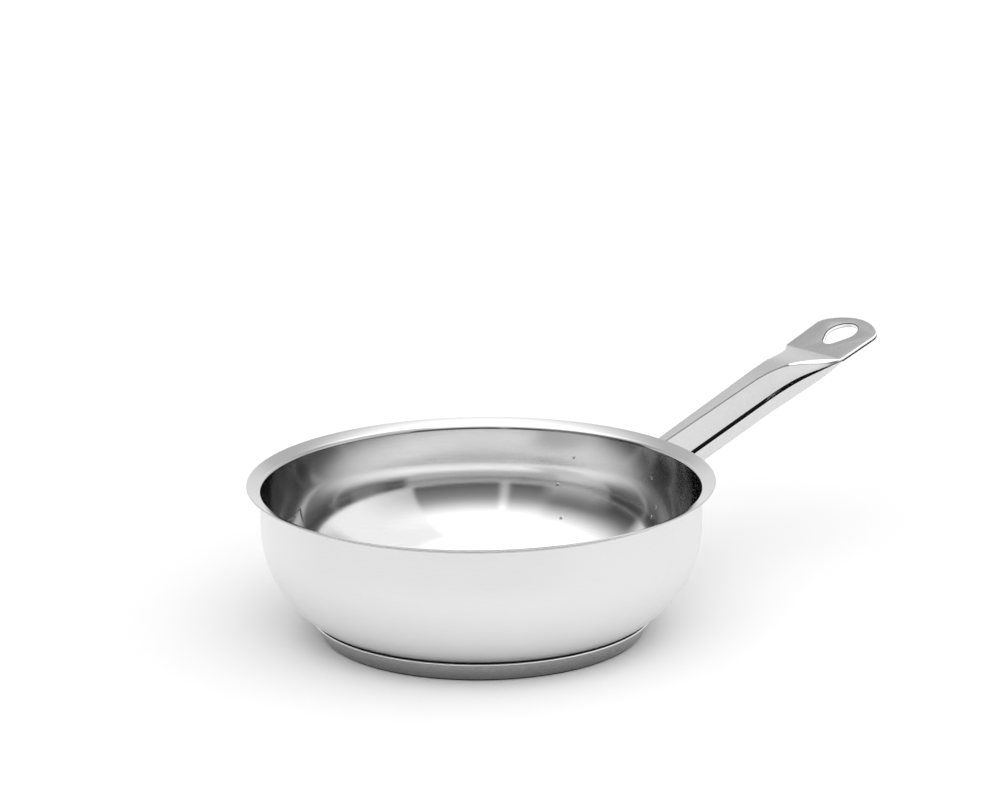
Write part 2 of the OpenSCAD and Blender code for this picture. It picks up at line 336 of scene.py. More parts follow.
# the hole's wall, and painted highlight on the upper sheet's tail edge and on the band beside the crease near
# the tail
holeWallHighlightLook = dict(plainLook, level=0.94, rough=0.4, lineColour=0.05)
shellSteel = handleSteel("handle_satin_steel", handleLook)
lowerLitSteel = handleSteel("handle_lower_painted_light_steel", lowerLitLook)
bracketSteel = handleSteel("bracket_steel", bracketLook)
tongueShadeSteel = handleSteel("tongue_painted_shade_steel", tongueShadeLook)
creaseShadeSteel = handleSteel("crease_painted_shade_steel", creaseShadeLook)
edgeShadeSteel = handleSteel("edge_painted_shade_steel", edgeShadeLook)
holeWallHighlightSteel = handleSteel("hole_wall_and_painted_highlight_steel", holeWallHighlightLook)


def weldedSteel(name):
    material, graph = newMaterial(name)
    x, y, z = graph.place()
    point = graph.vector(x, y, z)
    grain = graph.noise(point, 900, 4.0, 0.6)
    heat = graph.noise(point, 130, 3.0)
    colour = graph.colourMix(graph.spread(heat, 0.35, 0.65, 0, 1), grey(0.5, 0.03), grey(0.3, 0.08))
    graph.surface({"Base Color": colour, "Metallic": 1.0, "Roughness": 0.3 + heat * 0.3},
                  graph.bump(grain, 0.03 * mm))
    return material


def etchedSteel(name):
    material, graph = newMaterial(name)
    x, y, z = graph.place()
    grain = graph.noise(graph.vector(x, y, z), 1400, 3.0, 0.7)
    colour = graph.colourMix(grain, grey(0.16), grey(0.3))
    graph.surface({"Base Color": colour, "Metallic": 0.9, "Roughness": 0.45 + grain * 0.2},
                  graph.bump(grain, 0.01 * mm))
    return material


weldSteel = weldedSteel("weld_steel")
markSteel = etchedSteel("etched_mark_steel")
print("materials made")


# Bowl: one pressed sheet with a rounded wall and a pouring lip

bowlSizes = {"wallRadius": 106.2, "sheet": 0.8, "cornerRadius": 51.6, "cornerDip": 5.2,
             "floorRadius": 12, "lipBend": 1.8, "lipSlope": 22, "turns": 288}


def bowlLine(sizes, floorHeight, outward):  # the wall's line, moved outward by a distance
    cornerX = sizes["wallRadius"] - sizes["cornerRadius"]
    cornerZ = floorHeight + sizes["cornerRadius"] - sizes["cornerDip"]
    smallZ = floorHeight + sizes["floorRadius"]
    drop = cornerZ - smallZ
    smallX = cornerX + math.sqrt((sizes["cornerRadius"] - sizes["floorRadius"]) ** 2 - drop ** 2)
    meet = math.degrees(math.atan2(-drop, smallX - cornerX))
    low = arcPoints((smallX, smallZ), sizes["floorRadius"] + outward, -90, meet, 10)
    high = arcPoints((cornerX, cornerZ), sizes["cornerRadius"] + outward, meet, 0, 40)
    return low + high[1:]


def makeBowl(sizes):
    low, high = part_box("bowl")
    floorHeight = low.z / mm
    rimRadius = high.y / mm
    rimHeight = high.z / mm
    sheet = sizes["sheet"]
    bend = sizes["lipBend"]
    slope = math.radians(sizes["lipSlope"])
    turn = 90 - sizes["lipSlope"]
    turnRad = math.radians(turn)
    reach = rimRadius - sizes["wallRadius"]
    lipLength = (reach - bend + bend * math.cos(turnRad) - sheet / 2) / math.cos(slope)
    wallTop = rimHeight - (bend + sheet) * math.sin(turnRad) - lipLength * math.sin(slope)
    lipX = sizes["wallRadius"] + bend
    far = math.radians(180 - turn)
    endIn = (lipX + (bend + sheet) * math.cos(far) + lipLength * math.cos(slope),
             wallTop + (bend + sheet) * math.sin(far) + lipLength * math.sin(slope))
    endMid = (endIn[0] + sheet / 2 * math.sin(slope), endIn[1] - sheet / 2 * math.cos(slope))
    outer = bowlLine(sizes, floorHeight, 0)
    inner = bowlLine(sizes, floorHeight, -sheet)
    flat = [(outer[0][0] * k / 12, floorHeight) for k in range(12)]
    flatIn = [(p[0], floorHeight + sheet) for p in flat]
    under = arcPoints((lipX, wallTop), bend, 180, 180 - turn, 12)
    edge = arcPoints(endMid, sheet / 2, sizes["lipSlope"] - 90, sizes["lipSlope"] + 90, 10)
    over = arcPoints((lipX, wallTop), bend + sheet, 180 - turn, 180, 12)
    profile = flat + outer + under + edge + over + inner[::-1] + flatIn[::-1]
    bowl = turnedPiece("bowl_sheet", profile, sizes["turns"])
    for material in (outsideSteel, insideSteel, lipSteel):
        bowl.data.materials.append(material)
    for face in bowl.data.polygons:  # outside, then the lip, then the inside
        radius = math.hypot(face.center.x, face.center.y) / mm
        height = face.center.z / mm
        inLip = height > wallTop + 0.5
        outward = face.normal.x * face.center.x + face.normal.y * face.center.y
        facesOut = outward > 0 if height > floorHeight + sheet else face.normal.z < 0
        face.material_index = 2 if inLip and radius > sizes["wallRadius"] - 0.2 else (0 if facesOut else 1)
    addPiece(bowl, "bowl_steel", "bowl")
    return wallTop


wallTop = makeBowl(bowlSizes)
print("bowl made, wall top at", round(wallTop, 2))


# Base: an aluminium disc in a turned steel cap

capSizes = {"sheet": 0.8, "lean": 5.7, "footRound": 2, "turns": 288}


def makeCap(sizes):
    low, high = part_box("base_cap")
    edgeRadius = high.y / mm
    edgeHeight = high.z / mm
    lean = sizes["lean"]
    footRadius = edgeRadius - lean
    sheet = sizes["sheet"]
    slope = math.degrees(math.atan2(edgeHeight, lean))
    wall = sheet / math.sin(math.radians(slope))
    footRound = sizes["footRound"]
    tangent = footRound * math.tan(math.radians(slope / 2))
    flat = [((footRadius - tangent) * k / 16, 0.0) for k in range(16)]
    foot = arcPoints((footRadius - tangent, footRound), footRound, -90, slope - 90, 8)
    edgeMid = (edgeRadius - wall / 2, edgeHeight - sheet / 2)
    edge = arcPoints(edgeMid, sheet / 2, slope - 90, slope + 90, 10)
    inFoot = (footRadius - wall + lean * sheet / edgeHeight, sheet)
    profile = flat + foot + edge + [inFoot, (0.0, sheet)]
    cap = turnedPiece("base_cap_turned", profile, sizes["turns"])
    for material in (capSteel, capEdgeHighlightSteel, capFootShadeSteel, lipSteel):
        cap.data.materials.append(material)
    for face in cap.data.polygons:  # the turned side, the open edge painted bright as a highlight, the foot painted near black as contact shadow, and the underside
        height = face.center.z / mm
        if height < 0.02:
            face.material_index = 3
        elif height > edgeHeight - sheet * 0.8:
            face.material_index = 1
        elif height < tangent and face.normal.z < -0.2:
            face.material_index = 2
    addPiece(cap, "cap_steel", "base_cap")


makeCap(capSizes)
# painted shade: the core disc is painted near black where it shows in the gap
paintNode("core_disc", coreShadeMetal)
print("base made")


# Handle: two pressed shells round a recessed tongue, closed by a flat tail of both sheets

def dipAt(s):  # how far the middle plane has eased down towards the tail
    h = handleSizes
    share = shareOf(s, tailStart() - h["dipFrom"], tailStart() - h["dipTo"])
    return h["dip"] * share ** 2 * (3 - 2 * share)


def handleToRow(s, y, z):  # from the handle's own frame to the pan's frame
    rise = math.radians(handleSizes["rise"])
    lift = z - dipAt(s)
    return (handleSizes["wallRadius"] + s * math.cos(rise) - lift * math.sin(rise), y,
            wallTop - handleSizes["rootDrop"] + s * math.sin(rise) + lift * math.cos(rise))


def rootStation(y, z, radius):  # where a line along the handle meets an upright cylinder
    rise = math.radians(handleSizes["rise"])
    reach = math.sqrt(radius ** 2 - y ** 2)
    return (reach - handleSizes["wallRadius"] + z * math.sin(rise)) / math.cos(rise)


def tailStart():
    return handleSizes["length"] - handleSizes["tailLength"]


def tailSlope():
    return handleSizes["tailSpread"] / 2 / (handleSizes["tailLength"] - handleSizes["tailCorner"])


def stemHalf(s):
    h = handleSizes
    if s > tailStart():
        return h["tailWidth"] / 2 + tailSlope() * (s - tailStart())
    return mix(h["stemWidth"], h["tailWidth"], shareOf(s, tailStart() - h["sideFlare"], tailStart()) ** 2) / 2


def landHalf(s):
    h = handleSizes
    if s > tailStart():
        return stemHalf(s)
    wide = mix(h["landRoot"], h["landFar"], s / tailStart()) / 2
    flare = shareOf(s, tailStart() - h["landFlare"], tailStart()) ** 3
    return wide + (h["tailWidth"] - h["landFar"]) / 2 * flare


def fallingHeight(s, full, run):  # full height along the stem, the sheet's thickness at the tail, eased
    h = handleSizes
    start = tailStart() - h["bendReach"]
    end = tailStart() + h["bendReach"]

    def plain(at):
        return mix(full, h["sheet"], shareOf(at, tailStart() - run, tailStart()) ** 2)
    if s <= start:
        return plain(s)
    if s >= end:
        return h["sheet"]
    slope = (plain(start) - plain(start - 0.01)) / 0.01
    return easedCurve(s, start, end, plain(start), h["sheet"], slope, 0)


def halfGap(s):
    h = handleSizes
    return h["partGap"] / 2 * (1 - shareOf(s, tailStart() - h["gapFrom"], tailStart() - h["gapTo"]) ** 2)


def roundedCorner(corner, before, after, reach, steps):  # a curve that cuts the corner between two lines
    ends = []
    for other in (before, after):
        run = math.hypot(other[0] - corner[0], other[1] - corner[1])
        share = min(0.45, reach / max(run, 1e-6))
        ends.append((mix(corner[0], other[0], share), mix(corner[1], other[1], share)))
    curve = []
    for i in range(steps + 1):
        k = i / steps
        curve.append(tuple((1 - k) ** 2 * ends[0][a] + 2 * k * (1 - k) * corner[a] + k ** 2 * ends[1][a]
                           for a in (0, 1)))
    return curve


def creaseReach(s):  # the crease beside the land is tight on the stem and wide where it flares
    h = handleSizes
    wide = shareOf(s, tailStart() - h["creaseFrom"], tailStart() - h["creaseFull"])
    wide = wide * shareOf(s, tailStart() + h["creasePast"], tailStart() - h["creaseNarrow"])
    return mix(h["creaseRound"], h["creaseWide"], wide)


def flatRun(inner, level):  # four points from the end of a curve to the middle of a flat
    return [(inner * (1 - k / 4), level) for k in range(1, 5)]


def upperHalf(s):  # right half of the upper section, from the parting edge to the middle
    h = handleSizes
    edge = (stemHalf(s), halfGap(s))
    top = fallingHeight(s, h["crown"], h["crownFall"])
    land = (landHalf(s), top)
    part = roundedCorner(edge, (edge[0] - h["sheet"], edge[1]), land, h["partRound"], 3)
    crease = roundedCorner(land, edge, (0, top), creaseReach(s), 5)
    run = math.hypot(crease[0][0] - part[-1][0], crease[0][1] - part[-1][1])
    line = 1 - min(0.5, h["creaseLine"] / run)
    side = [(mix(part[-1][0], crease[0][0], k), mix(part[-1][1], crease[0][1], k)) for k in (line / 2, line)]
    return part + side + crease + flatRun(crease[-1][0], top)


def upperHollow(s):
    h = handleSizes
    t = h["sheet"]
    top = fallingHeight(s, h["crown"], h["crownFall"])
    return [(stemHalf(s) - t, halfGap(s)), (max(0.2, landHalf(s) - t / 2), top - t), (0, top - t)]


def bottomCorner(s):
    h = handleSizes
    return mix(h["bottomCorner"], h["tailCornerLow"], shareOf(s, tailStart() - h["bellyRise"], tailStart()))


def lowerHalf(s):
    h = handleSizes
    edge = (stemHalf(s), -halfGap(s))
    deep = fallingHeight(s, h["belly"], h["bellyRise"])
    corner = bottomCorner(s)
    foot = (edge[0] - h["bottomLean"] * corner, corner - deep)
    part = roundedCorner(edge, (edge[0] - h["sheet"], edge[1]), foot, h["partRound"], 3)
    side = [(mix(part[-1][0], foot[0], k / 3), mix(part[-1][1], foot[1], k / 3)) for k in (1, 2)]
    bottom = foot[0] - corner
    turn = arcPoints((bottom, foot[1]), corner, 0, -90, 6)
    return part + side + turn + flatRun(bottom, -deep)


def lowerHollow(s):
    h = handleSizes
    corner = bottomCorner(s)
    edge = stemHalf(s) - h["sheet"]
    foot = edge - h["bottomLean"] * corner
    deep = fallingHeight(s, h["belly"], h["bellyRise"]) - h["sheet"]
    return [(edge, -halfGap(s)), (foot, corner - deep), (foot - corner, -deep), (0, -deep)]


def bothSides(half):  # the whole section from its right half, the middle point once
    return half + [(-y, z) for y, z in half[-2::-1]]


def tailOutline(start):  # the tail's edge from a station on the right round the tip to the left
    h = handleSizes
    slope = tailSlope()
    tipCentre = h["length"] - h["tipRadius"]
    stretch = 1 + slope ** 2
    level = h["tailWidth"] / 2 - slope * tailStart() - h["tailCorner"] * math.sqrt(stretch)
    b = slope * level - tipCentre
    c = tipCentre ** 2 + level ** 2 - (h["tipRadius"] - h["tailCorner"]) ** 2
    cornerX = (math.sqrt(b ** 2 - stretch * c) - b) / stretch
    cornerY = level + slope * cornerX
    meet = math.degrees(math.atan2(cornerY, cornerX - tipCentre))
    lean = math.degrees(math.atan(slope))
    right = [(start, stemHalf(start))]
    right += arcPoints((cornerX, cornerY), h["tailCorner"], 90 + lean, meet, 12)
    right += arcPoints((tipCentre, 0), h["tipRadius"], meet, 0, 20)[1:]
    return right + [(x, -y) for x, y in right[-2::-1]]


def teardrop():  # the hanging hole, its wide end towards the tip, as a closed loop from the tip side
    h = handleSizes
    wide = h["length"] - h["holeEdge"] - h["holeRadius"]
    side = 180 - math.degrees(math.acos((h["holeRadius"] - h["holeSmallRadius"]) / h["holeStep"]))
    right = arcPoints((wide, 0), h["holeRadius"], 0, side, 22)
    right += arcPoints((wide - h["holeStep"], 0), h["holeSmallRadius"], side, 180, 8)
    return right + [(x, -y) for x, y in right[-2:0:-1]]


def sideways(points, closed):  # unit directions square to a line of points, to its left
    found = []
    count = len(points)
    for i in range(count):
        before = points[(i - 1) % count] if closed else points[max(i - 1, 0)]
        after = points[(i + 1) % count] if closed else points[min(i + 1, count - 1)]
        run = math.hypot(after[0] - before[0], after[1] - before[1])
        found.append(((before[1] - after[1]) / run, (after[0] - before[0]) / run))
    return found


def pressedShell(name, halfSection, hollowSection, sheetSide):
    h = handleSizes
    endStation = tailStart() + h["bendReach"]
    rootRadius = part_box("handle_saddle")[1].x / mm + h["rootGap"]
    points = []
    faces = []
    # faces that get painted shade (line, part, holeLine, the lower tail) or painted highlight (band, the
    # upper tail)
    zones = {"line": [], "band": [], "tail": [], "part": [], "hole": [], "holeLine": []}

    def addPoint(s, y, z):
        points.append(handleToRow(s, y, z))
        return len(points) - 1

    def stationRow(section, share):  # a section whose root lies on the saddle's cylinder
        row = []
        for i in range(len(bothSides(section(0)))):
            s = 0.0
            for _ in range(4):
                y, z = bothSides(section(s))[i]
                s = rootStation(y, z, rootRadius)
            s = mix(s, endStation, share)
            y, z = bothSides(section(s))[i]
            row.append(addPoint(s, y, z))
        return row

    bend = (tailStart() - 2 * h["bendReach"]) / endStation
    shares = [bend * k / h["steps"] for k in range(h["steps"] + 1)]
    shares += [mix(bend, 1, k / h["bendSteps"]) for k in range(1, h["bendSteps"] + 1)]
    outer = [stationRow(halfSection, share) for share in shares]
    inner = [stationRow(hollowSection, share) for share in shares
             if share * endStation < tailStart() - h["hollowEnd"]]
    wide = len(outer[0])
    for k in range(len(outer) - 1):
        for i in range(wide - 1):
            place = min(i, wide - 2 - i)  # 0 to 2: parting edge, 5: beside the crease, 6 to 10: over it
            reach = tailStart() - (h["lineStop"] if place == 5 else h["bandFrom"])
            if 4 < place < 11 and shares[k] * endStation < reach:
                zones["line"].append(len(faces))
            elif 5 < place < 11:
                zones["band"].append(len(faces))
            if place < 3:
                zones["part"].append(len(faces))
            faces.append([outer[k][i], outer[k + 1][i], outer[k + 1][i + 1], outer[k][i + 1]])
    for near, far in zip(inner, inner[1:]):
        for i in range(len(near) - 1):
            faces.append([near[i + 1], far[i + 1], far[i], near[i]])
    last = len(inner) - 1
    for k in range(last):  # the two parting edges of the sheet
        zones["part"] += [len(faces), len(faces) + 1]
        faces.append([outer[k][0], inner[k][0], inner[k + 1][0], outer[k + 1][0]])
        faces.append([outer[k][-1], outer[k + 1][-1], inner[k + 1][-1], inner[k][-1]])
    faces.append(outer[0] + inner[0][::-1])
    faces.append(inner[last][::-1])
    faces.append([outer[last][0], inner[last][0], inner[last][-1], outer[last][-1],
                  outer[last + 1][-1], outer[last + 1][0]])
    centre = addPoint(endStation, 0, 0)
    for k in range(last + 1, len(outer) - 1):
        split = [centre] if k == len(outer) - 2 else []
        faces.append([outer[k][0], outer[k][-1], outer[k + 1][-1]] + split + [outer[k + 1][0]])

    # The flat tail: the edge of its sheet runs round the outline, and both faces hold the hole
    end = outer[-1]
    flat = 4
    rim = len(halfSection(endStation)) - flat  # points from the parting edge to the start of the flat
    profile = [(stemHalf(endStation) - y, z) for y, z in halfSection(endStation)[:rim]]
    outline = tailOutline(endStation)
    outward = sideways(outline, False)
    rows = [end[:rim]]
    for (x, y), (nx, ny) in list(zip(outline, outward))[1:-1]:
        rows.append([addPoint(x - nx * inset, y - ny * inset, z) for inset, z in profile])
    rows.append(end[:-rim - 1:-1])
    for near, far in zip(rows, rows[1:]):
        for i in range(rim - 1):
            zones["tail"].append(len(faces))
            faces.append([near[i], far[i], far[i + 1], near[i + 1]])
    level = sheetSide * h["sheet"]
    hole = teardrop()
    away = sideways(hole, True)
    lipRound = roundedCorner((0, level), (2, level), (0, 0), h["holeRound"], 3) + [(0, 0)]
    rings = [[addPoint(x - nx * out, y - ny * out, z) for (x, y), (nx, ny) in zip(hole, away)]
             for out, z in lipRound]
    turn = len(hole)
    for near, far in zip(rings, rings[1:]):
        zone = "hole" if far is rings[-1] else "holeLine"
        for i in range(turn):
            zones[zone].append(len(faces))
            faces.append([near[i], near[(i + 1) % turn], far[(i + 1) % turn], far[i]])
    half = len(rows) // 2
    middle = wide // 2
    turned = turn // 2
    ring = rings[0]
    faces.append(end[rim - 1:middle + 1][::-1] + [row[-1] for row in rows[1:half + 1]] + ring[:turned + 1])
    faces.append([row[-1] for row in rows[half:-1]] + end[middle:wide - rim + 1][::-1]
                 + ring[turned:] + ring[:1])
    ring = rings[-1]
    faces.append([centre] + [row[0] for row in rows[:half + 1]] + ring[:turned + 1])
    faces.append([row[0] for row in rows[half:]] + [centre] + ring[turned:] + ring[:1])
    shell = makeObject(name, points, faces)
    shell.data.set_sharp_from_angle(angle=math.radians(28))
    return shell, zones


def softenEdges(piece, width):
    bevel = piece.modifiers.new("soft_edges", "BEVEL")
    bevel.limit_method = "ANGLE"
    bevel.angle_limit = math.radians(40)
    bevel.width = width * mm
    bevel.segments = 3


def makeHandle():
    top, topZones = pressedShell("handle_top_shell", upperHalf, upperHollow, 1)
    bottom, bottomZones = pressedShell("handle_bottom_shell", lowerHalf, lowerHollow, -1)
    # painted shade on line, part, holeLine and the lower tail; painted highlight on band and the upper tail
    topLooks = {"line": 1, "part": 2, "holeLine": 2, "band": 3, "tail": 3, "hole": 3}
    bottomLooks = {"tail": 2, "part": 2, "holeLine": 2, "hole": 3}
    for shell, node, steel, zones, numbers in (
            (top, "handle_upper_shell", shellSteel, topZones, topLooks),
            (bottom, "handle_lower_shell", lowerLitSteel, bottomZones, bottomLooks)):
        for material in (steel, creaseShadeSteel, edgeShadeSteel, holeWallHighlightSteel):
            shell.data.materials.append(material)
        for zone, number in numbers.items():
            for i in zones[zone]:
                shell.data.polygons[i].material_index = number
        addPiece(shell, "handle_steel", node)


# Weld bead where the two shells meet the saddle

beadSizes = {"radius": 0.75, "ripple": 0.07, "count": 150, "rippleStep": 3, "round": 10}


def rootPath(count):  # evenly spaced points round the handle's root
    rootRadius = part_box("handle_saddle")[1].x / mm + handleSizes["rootGap"]
    upper = bothSides(upperHalf(0)[3:])
    lower = bothSides(lowerHalf(0)[3:])[::-1]
    corners = [Vector(handleToRow(rootStation(y, z, rootRadius), y, z)) for y, z in upper + lower]
    corners.append(corners[0])
    lengths = [0.0]
    for a, b in zip(corners, corners[1:]):
        lengths.append(lengths[-1] + (b - a).length)
    path = []
    k = 0
    for i in range(count):
        want = lengths[-1] * i / count
        while lengths[k + 1] < want:
            k += 1
        run = max(lengths[k + 1] - lengths[k], 1e-6)
        path.append(corners[k].lerp(corners[k + 1], (want - lengths[k]) / run))
    return path


def makeBead(sizes):
    path = rootPath(sizes["count"])
    count = sizes["count"]
    around = sizes["round"]
    points = []
    faces = []
    for i, place in enumerate(path):
        along = (path[(i + 2) % count] - path[i - 2]).normalized()
        outward = Vector((place.x, place.y, 0)).normalized()
        side = along.cross(outward).normalized()
        radius = sizes["radius"] + sizes["ripple"] * math.sin(2 * math.pi * i / sizes["rippleStep"])
        for j in range(around):
            turn = 2 * math.pi * j / around
            points.append(place + radius * (math.cos(turn) * outward + math.sin(turn) * side))
        for j in range(around):
            near = i * around
            far = (i + 1) % count * around
            faces.append([near + j, near + (j + 1) % around, far + (j + 1) % around, far + j])
    bead = makeObject("root_weld_bead", points, faces)
    bead.data.materials.append(weldSteel)
    addPiece(bead, "weld_steel")


makeHandle()
makeBead(beadSizes)
# painted shade: the tongue is painted near black in the gap between the shells
paintNode("handle_tongue", tongueShadeSteel)
paintNode("spot_welds", weldSteel)
paintNode("handle_saddle", bracketSteel)
softenEdges(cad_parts["handle_saddle"], 0.3)
print("handle made")


# Litre marks on the inside of the wall: a dash with its number, and two columns of small punched rings

markSizes = {"off": 0.02, "thick": 0.05, "dash": (118.8, 111.8, 42.6, 43.3),
             "stem": (109.3, 108.7, 38.7, 45.8), "flag": (111.0, 109.2, 44.2, 45.8), "flagEnds": (0.5, 0.9),
             "rings": [(23.5, 58.3), (28.1, 43.5), (25.8, 28.2), (-3.3, 56.6), (-6.0, 42.9), (-5.1, 37.6)],
             "turns": 16,
             "profile": [(0, 0.03), (0.4, 0.03), (0.55, 0.12), (0.8, 0.12), (1.0, 0.02), (1.0, -0.05)]}


def wallFrame(azimuth, height, out):  # a point off the inner wall, with the ways inward, round and up
    sizes = bowlSizes
    cornerX = sizes["wallRadius"] - sizes["cornerRadius"]
    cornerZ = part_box("bowl")[0].z / mm + sizes["cornerRadius"] - sizes["cornerDip"]
    inside = sizes["cornerRadius"] - sizes["sheet"]
    drop = max(0.0, cornerZ - height)
    radius = cornerX + math.sqrt(inside ** 2 - drop ** 2)
    turn = math.radians(azimuth)
    tilt = math.asin(drop / inside)
    inward = Vector((-math.cos(tilt) * math.cos(turn), -math.cos(tilt) * math.sin(turn), math.sin(tilt)))
    side = Vector((-math.sin(turn), math.cos(turn), 0))
    place = Vector((radius * math.cos(turn), radius * math.sin(turn), height)) + inward * out
    return place, inward, side, side.cross(inward)


def addPatch(points, faces, corners, sizes):  # a thin curved slab from a row of (azimuth, low, high)
    base = len(points)
    for azimuth, low, high in corners:
        for height in (low, high):
            for out in (sizes["off"], sizes["off"] + sizes["thick"]):
                points.append(wallFrame(azimuth, height, out)[0])
    for k in range(len(corners) - 1):
        a = base + 4 * k
        b = a + 4
        faces += [[a, a + 2, b + 2, b], [a + 1, b + 1, b + 3, a + 3], [a, b, b + 1, a + 1],
                  [a + 2, a + 3, b + 3, b + 2]]
    last = base + 4 * (len(corners) - 1)
    faces += [[base, base + 1, base + 3, base + 2], [last, last + 2, last + 3, last + 1]]


def makeMarks(sizes):
    points = []
    faces = []
    for name, steps in (("dash", 8), ("stem", 1)):
        start, end, low, high = sizes[name]
        addPatch(points, faces, [(mix(start, end, k / steps), low, high) for k in range(steps + 1)], sizes)
    start, end, low, high = sizes["flag"]
    thin, thick = sizes["flagEnds"]
    addPatch(points, faces, [(start, low, low + thin), (end, high - thick, high)], sizes)
    etched = len(faces)
    turns = sizes["turns"]
    for azimuth, height in sizes["rings"]:
        place, inward, side, upward = wallFrame(azimuth, height, 0)
        rows = []
        for radius, out in sizes["profile"]:
            if radius == 0:
                rows.append([len(points)] * turns)
                points.append(place + inward * out)
                continue
            rows.append([len(points) + i for i in range(turns)])
            for i in range(turns):
                turn = 2 * math.pi * i / turns
                spoke = side * math.cos(turn) + upward * math.sin(turn)
                points.append(place + inward * out + spoke * radius)
        for k, (near, far) in enumerate(zip(rows, rows[1:])):
            for i in range(turns):
                j = (i + 1) % turns
                faces.append([near[0], far[j], far[i]] if k == 0 else [near[i], near[j], far[j], far[i]])
        faces.append(rows[-1][::-1])
    marks = makeObject("litre_marks", points, faces, smoothFaces=False)
    for material in (markSteel, lipSteel):
        marks.data.materials.append(material)
    perRing = turns * (len(sizes["profile"]) - 1) + 1
    for face in marks.data.polygons:
        number = (face.index - etched) % perRing
        face.material_index = 0 if face.index < etched or number < 2 * turns else 1
    addPiece(marks, "bowl_steel")


makeMarks(markSizes)
print("marks made")


# Stage: white floor, camera and light

def aimCamera(view):
    heading = math.radians(view["azimuth"])
    yaw = math.radians(view["yaw"])
    pitch = math.radians(view["pitch"])
    roll = math.radians(view["roll"])
    toRow = Matrix.Rotation(heading, 3, "Z")
    forward = toRow @ Vector((math.sin(yaw) * math.cos(pitch), math.cos(yaw) * math.cos(pitch),
                              -math.sin(pitch)))
    right = forward.cross(Vector((0, 0, 1))).normalized()
    up = right.cross(forward)
    right, up = (right * math.cos(roll) + up * math.sin(roll), up * math.cos(roll) - right * math.sin(roll))
    data = bpy.data.cameras.new("photo_camera")
    data.sensor_width = 36
    data.lens = view["lens"]
    data.clip_end = 100
    made = bpy.data.objects.new("photo_camera", data)
    place = toRow @ Vector((0, -view["distance"], view["height"]))
    turn = Matrix((right, up, -forward)).transposed()
    made.matrix_world = Matrix.Translation(place) @ turn.to_4x4()
    bpy.context.scene.collection.objects.link(made)
    bpy.context.scene.camera = made


photoView = {"distance": 1.8434, "height": 0.6178, "azimuth": -40, "yaw": 0.2946, "pitch": 15.263,
             "roll": -0.5665, "lens": 144}
aimCamera(photoView)

stageSizes = {"floorReach": 12, "floorLevel": 0.94, "floorGlow": 0.06, "skyLow": 0.35, "skyHigh": 1.1,
              "key": {"azimuth": 80, "elevation": 40, "tight": 6, "level": 0.5},
              "front": {"azimuth": 180, "elevation": 32, "tight": 3, "level": 1.9}}


def shownToEye(graph):  # 1 for what the camera sees, directly or in metal or glass
    sockets = graph.node("ShaderNodeLightPath").socket.node.outputs
    seen = [Wire(graph, sockets[name]) for name in ("Is Camera Ray", "Is Glossy Ray", "Is Transmission Ray")]
    return graph.node("ShaderNodeMath", {"operation": "MINIMUM"}, [seen[0] + seen[1] + seen[2], 1.0])


def whiteFloor(sizes):
    material, graph = newMaterial("floor_white")
    shown = shownToEye(graph)
    diffuse = graph.node("ShaderNodeBsdfDiffuse", values={"Color": grey(sizes["floorLevel"])})
    glow = graph.node("ShaderNodeEmission", values={"Strength": shown * sizes["floorGlow"]})
    both = graph.node("ShaderNodeAddShader", values=[diffuse, glow])
    graph.node("ShaderNodeOutputMaterial", values={"Surface": both})
    reach = sizes["floorReach"] / mm
    corners = [(-reach, -reach, 0), (reach, -reach, 0), (reach, reach, 0), (-reach, reach, 0)]
    floor = makeObject("floor", corners, [[0, 1, 2, 3]], smoothFaces=False)
    floor.data.materials.append(material)


def whiteSky(sizes):
    world = bpy.data.worlds.new("studio")
    bpy.context.scene.world = world
    world.use_nodes = True
    graph = Graph(world.node_tree)
    direction = graph.node("ShaderNodeTexCoord", output=0)
    height = Wire(graph, graph.node("ShaderNodeSeparateXYZ", values=[direction]).socket.node.outputs[2])
    upper = graph.node("ShaderNodeMath", {"operation": "MAXIMUM"}, [height, 0.0])
    soft = sizes["skyLow"] + upper ** 3.0 * sizes["skyHigh"]
    for lamp in (sizes["key"], sizes["front"]):  # two wide soft lights, azimuths seen from the camera
        turn = math.radians(lamp["azimuth"] - photoView["azimuth"])
        rise = math.radians(lamp["elevation"])
        aim = (math.sin(turn) * math.cos(rise), math.cos(turn) * math.cos(rise), math.sin(rise))
        facing = graph.node("ShaderNodeVectorMath", {"operation": "DOT_PRODUCT"}, [direction, aim], output=1)
        near = graph.node("ShaderNodeMath", {"operation": "MAXIMUM"}, [facing, 0.0])
        soft = soft + near ** float(lamp["tight"]) * lamp["level"]
    seen = shownToEye(graph)
    sky = graph.node("ShaderNodeBackground", values={"Strength": seen + (1 - seen) * soft})
    graph.node("ShaderNodeOutputWorld", values={"Surface": sky})


